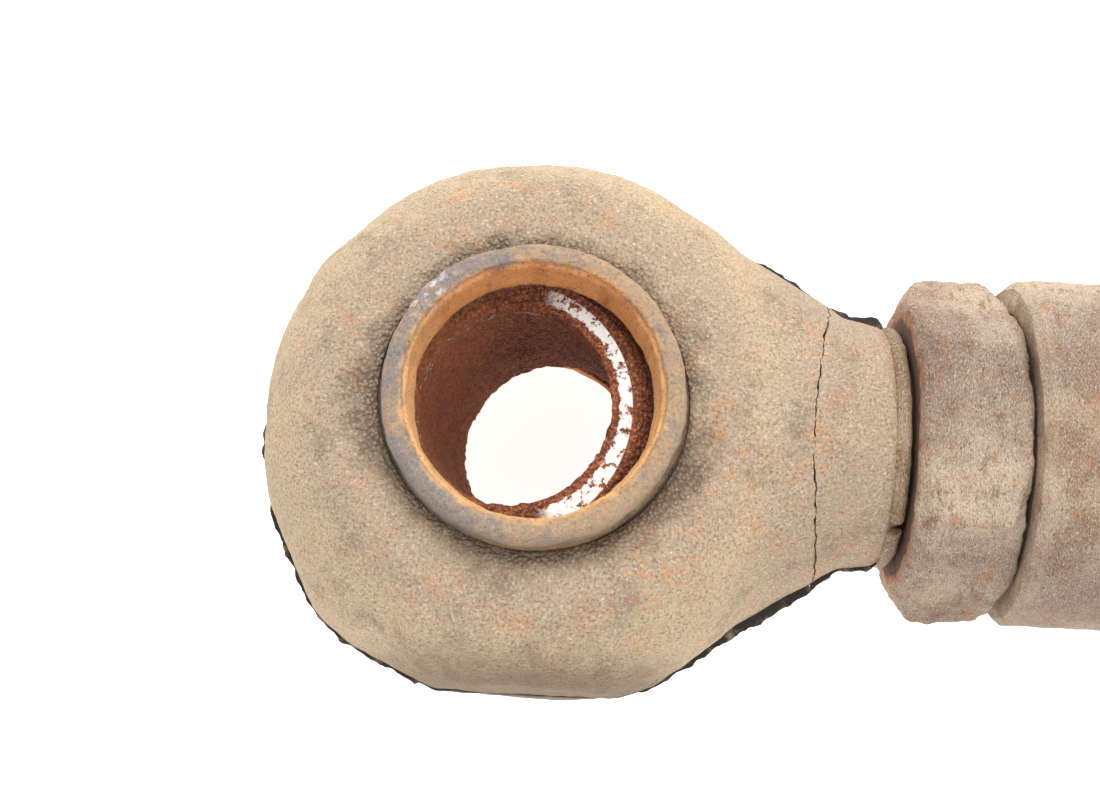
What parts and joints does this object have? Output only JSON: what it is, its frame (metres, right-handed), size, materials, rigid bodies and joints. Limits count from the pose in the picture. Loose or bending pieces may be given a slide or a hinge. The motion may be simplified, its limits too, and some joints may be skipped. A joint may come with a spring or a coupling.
{
  "type": "tie rod end",
  "caption": "Rubber covered spherical tie rod end: a swivelling bored ball in a steel eye, a threaded shank with a jam nut, and a screwed tie tube for setting length.",
  "frame": {"origin": "centre of the ball, where the bore axis of the eye meets the shank's axis", "axes": "+Z along the eye's bore, towards its front; +X along the shank, towards the tube"},
  "size_m": [0.1619, 0.0448, 0.032],
  "materials": {
    "forged_steel": "rusted forged steel",
    "rusty_steel": "rusty, dusty steel",
    "orange_rust": "orange rust over grey steel",
    "bearing_steel": "polished bearing steel, partly rusted",
    "dusty_rubber": "aged rubber under tan dust",
    "seal_rubber": "dark rubber",
    "liner_fabric": "woven bearing fabric"
  },
  "bodies": {
    "eye": {"eye_housing": "forged_steel", "front_closing_ring": "orange_rust", "rear_closing_ring": "orange_rust", "front_wiper_seal": "seal_rubber", "rear_wiper_seal": "seal_rubber", "front_circlip": "forged_steel", "rear_circlip": "forged_steel", "front_lip_wire": "forged_steel", "rear_lip_wire": "forged_steel", "eye_boot": "dusty_rubber", "neck_sleeve": "dusty_rubber", "neck_clip": "rusty_steel"},
    "race": {"front_race": "bearing_steel", "rear_race": "bearing_steel"},
    "liner": {"ball_liner": "liner_fabric"},
    "ball": {"ball": "bearing_steel"},
    "nut": {"jam_nut": "rusty_steel"},
    "tube": {"tie_tube": "rusty_steel", "near_bung": "forged_steel", "far_bung": "forged_steel"}
  },
  "joints": [
    {"name": "ball_swing", "type": "hinge", "parent": "eye", "child": "race", "pos_m": [0, 0, 0], "axis": [0, 0, 1], "continuous": true},
    {"name": "ball_tip", "type": "hinge", "parent": "race", "child": "liner", "pos_m": [0, 0, 0], "axis": [0, 1, 0], "range_deg": [-2, 22]},
    {"name": "ball_spin", "type": "hinge", "parent": "liner", "child": "ball", "pos_m": [0, 0, 0], "axis": [-0.1736, 0, 0.9848], "continuous": true},
    {"name": "tube_travel", "type": "slide", "parent": "eye", "child": "nut", "axis": [1, 0, 0], "range_m": [0, 0.015]},
    {"name": "tube_turn", "type": "hinge", "parent": "nut", "child": "tube", "pos_m": [0, 0, 0], "axis": [1, 0, 0], "range_deg": [0, 3600]}
  ],
  "couplings": [
    {"joint": "tube_turn", "follows": "tube_travel", "rad_per_m": 4188.8}
  ]
}
